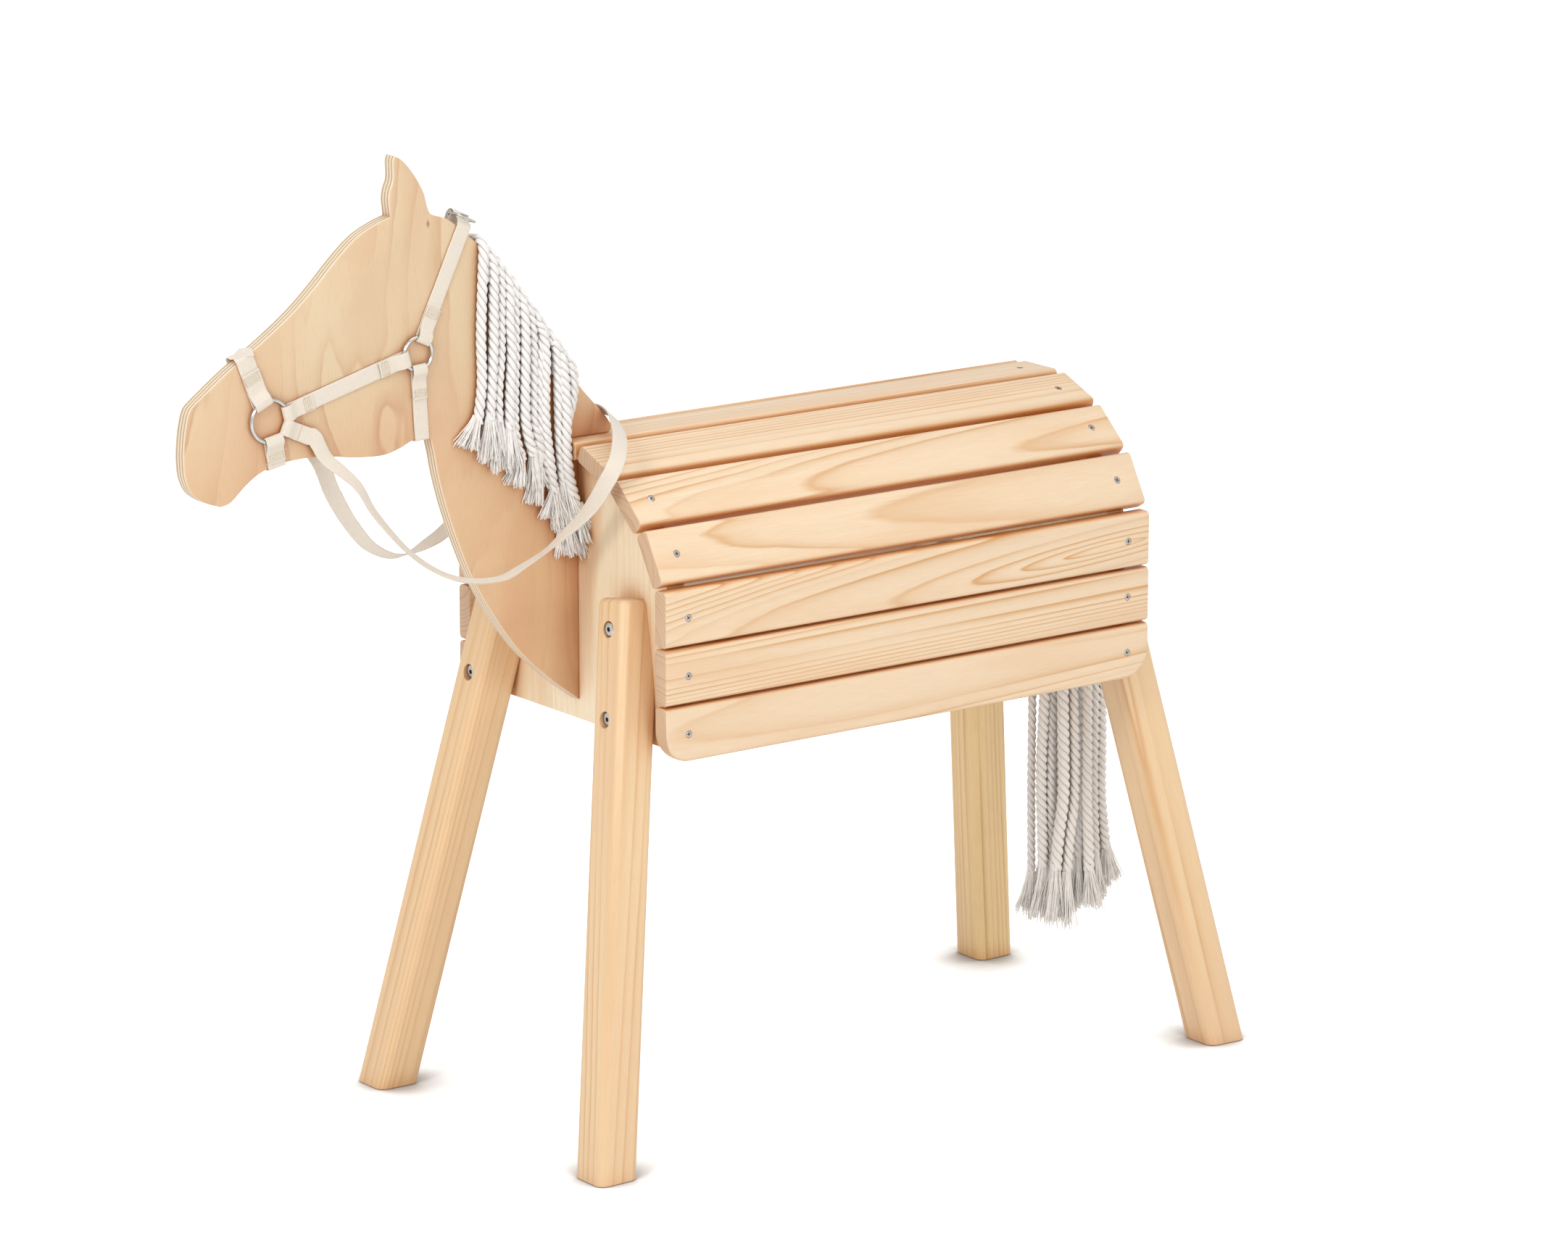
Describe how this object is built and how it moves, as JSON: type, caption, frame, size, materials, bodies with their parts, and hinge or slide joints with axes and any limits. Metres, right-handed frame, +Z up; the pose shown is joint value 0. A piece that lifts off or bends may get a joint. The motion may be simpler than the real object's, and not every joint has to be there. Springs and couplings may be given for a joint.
{
  "type": "wooden play horse",
  "caption": "Slatted wooden play horse on four splayed legs, with a flat plywood head, a webbing halter with rings and reins, and a rope mane and tail.",
  "frame": {"origin": "on the floor under the middle of the horse's bounding box", "axes": "+Z up, the horse faces -Y, its left side is +X"},
  "size_m": [0.5444, 1.4345, 1.2434],
  "materials": {
    "pine_slat": "satin clear-oiled pine, grain along the slat",
    "pine_leg": "satin clear-oiled pine, grain along the leg",
    "bulkhead_board": "satin pale softwood board",
    "birch_ply": "satin birch plywood with a layered edge",
    "nickel_steel": "nickel-plated, semi-bright",
    "zinc_steel": "zinc-plated, satin",
    "cotton_webbing": "woven cream cotton webbing",
    "cotton_rope": "laid cotton rope, off-white, matt",
    "tail_rope": "laid cotton rope, greyer off-white, matt"
  },
  "bodies": {
    "horse": {"head_neck_panel": "birch_ply", "front_bulkhead": "bulkhead_board", "rear_bulkhead": "bulkhead_board", "back_slat_top": "pine_slat", "back_slat_left_1": "pine_slat", "back_slat_left_2": "pine_slat", "back_slat_left_3": "pine_slat", "back_slat_left_4": "pine_slat", "back_slat_left_5": "pine_slat", "back_slat_left_6": "pine_slat", "back_slat_right_1": "pine_slat", "back_slat_right_2": "pine_slat", "back_slat_right_3": "pine_slat", "back_slat_right_4": "pine_slat", "back_slat_right_5": "pine_slat", "back_slat_right_6": "pine_slat", "leg_front_left": "pine_leg", "leg_bolt_front_left_upper": "nickel_steel", "leg_bolt_front_left_lower": "nickel_steel", "leg_plate_front_left": "zinc_steel", "leg_front_right": "pine_leg", "leg_bolt_front_right_upper": "nickel_steel", "leg_bolt_front_right_lower": "nickel_steel", "leg_plate_front_right": "zinc_steel", "leg_rear_left": "pine_leg", "leg_bolt_rear_left_upper": "nickel_steel", "leg_bolt_rear_left_lower": "nickel_steel", "leg_plate_rear_left": "zinc_steel", "leg_rear_right": "pine_leg", "leg_bolt_rear_right_upper": "nickel_steel", "leg_bolt_rear_right_lower": "nickel_steel", "leg_plate_rear_right": "zinc_steel", "neck_bolt_lower": "zinc_steel", "neck_bolt_upper": "zinc_steel", "noseband": "cotton_webbing", "chin_strap": "cotton_webbing", "throat_strap": "cotton_webbing", "cheek_strap_left": "cotton_webbing", "cheek_strap_right": "cotton_webbing", "crown_strap": "cotton_webbing", "crown_buckle_strap": "cotton_webbing", "rein_end_left": "cotton_webbing", "rein_end_right": "cotton_webbing", "buckle_frame": "nickel_steel", "mane_crest": "cotton_rope"},
    "nose_ring_left": {"nose_ring_left": "nickel_steel"},
    "cheek_ring_left": {"cheek_ring_left": "nickel_steel"},
    "nose_ring_right": {"nose_ring_right": "nickel_steel"},
    "cheek_ring_right": {"cheek_ring_right": "nickel_steel"},
    "reins": {"reins": "cotton_webbing"},
    "buckle_prong": {"buckle_prong": "nickel_steel"},
    "mane_lock_left_front": {"mane_lock_left_front": "cotton_rope"},
    "mane_lock_left_middle": {"mane_lock_left_middle": "cotton_rope"},
    "mane_lock_left_rear": {"mane_lock_left_rear": "cotton_rope"},
    "mane_lock_right_front": {"mane_lock_right_front": "cotton_rope"},
    "mane_lock_right_middle": {"mane_lock_right_middle": "cotton_rope"},
    "mane_lock_right_rear": {"mane_lock_right_rear": "cotton_rope"},
    "tail_knot": {"tail_knot": "tail_rope"},
    "tail_ropes": {"tail_ropes": "tail_rope"}
  },
  "joints": [
    {"name": "nose_ring_left_turn", "type": "hinge", "parent": "horse", "child": "nose_ring_left", "pos_m": [0.0155, -0.6002, 0.945], "axis": [1, 0, 0], "continuous": true},
    {"name": "cheek_ring_left_turn", "type": "hinge", "parent": "horse", "child": "cheek_ring_left", "pos_m": [0.0155, -0.3892, 1.001], "axis": [1, 0, 0], "continuous": true},
    {"name": "nose_ring_right_turn", "type": "hinge", "parent": "horse", "child": "nose_ring_right", "pos_m": [-0.0155, -0.6002, 0.945], "axis": [1, 0, 0], "continuous": true},
    {"name": "cheek_ring_right_turn", "type": "hinge", "parent": "horse", "child": "cheek_ring_right", "pos_m": [-0.0155, -0.3892, 1.001], "axis": [1, 0, 0], "continuous": true},
    {"name": "reins_lift", "type": "hinge", "parent": "horse", "child": "reins", "pos_m": [0, -0.54791, 0.92061], "axis": [1, 0, 0], "range_deg": [0, 20]},
    {"name": "buckle_prong_lift", "type": "hinge", "parent": "horse", "child": "buckle_prong", "pos_m": [-0.013, -0.31423, 1.15747], "axis": [0, -0.9018, 0.4321], "range_deg": [0, 35]},
    {"name": "mane_lock_left_front_lift", "type": "hinge", "parent": "horse", "child": "mane_lock_left_front", "pos_m": [0.018, -0.2852, 1.09093], "axis": [0, -0.6153, 0.7883], "range_deg": [0, 45]},
    {"name": "mane_lock_left_middle_lift", "type": "hinge", "parent": "horse", "child": "mane_lock_left_middle", "pos_m": [0.018, -0.2362, 1.02815], "axis": [0, -0.6153, 0.7883], "range_deg": [0, 12]},
    {"name": "mane_lock_left_rear_lift", "type": "hinge", "parent": "horse", "child": "mane_lock_left_rear", "pos_m": [0.018, -0.1837, 0.96089], "axis": [0, -0.6153, 0.7883], "range_deg": [0, 8]},
    {"name": "mane_lock_right_front_lift", "type": "hinge", "parent": "horse", "child": "mane_lock_right_front", "pos_m": [-0.018, -0.2852, 1.09093], "axis": [0, 0.6153, -0.7883], "range_deg": [0, 45]},
    {"name": "mane_lock_right_middle_lift", "type": "hinge", "parent": "horse", "child": "mane_lock_right_middle", "pos_m": [-0.018, -0.2362, 1.02815], "axis": [0, 0.6153, -0.7883], "range_deg": [0, 12]},
    {"name": "mane_lock_right_rear_lift", "type": "hinge", "parent": "horse", "child": "mane_lock_right_rear", "pos_m": [-0.018, -0.1837, 0.96089], "axis": [0, 0.6153, -0.7883], "range_deg": [0, 8]},
    {"name": "tail_sway", "type": "hinge", "parent": "horse", "child": "tail_knot", "pos_m": [0, 0.5608, 0.786], "axis": [0, 1, 0], "range_deg": [-9, 9]},
    {"name": "tail_lift", "type": "hinge", "parent": "tail_knot", "child": "tail_ropes", "pos_m": [0, 0.5958, 0.786], "axis": [1, 0, 0], "range_deg": [0, 75]}
  ]
}
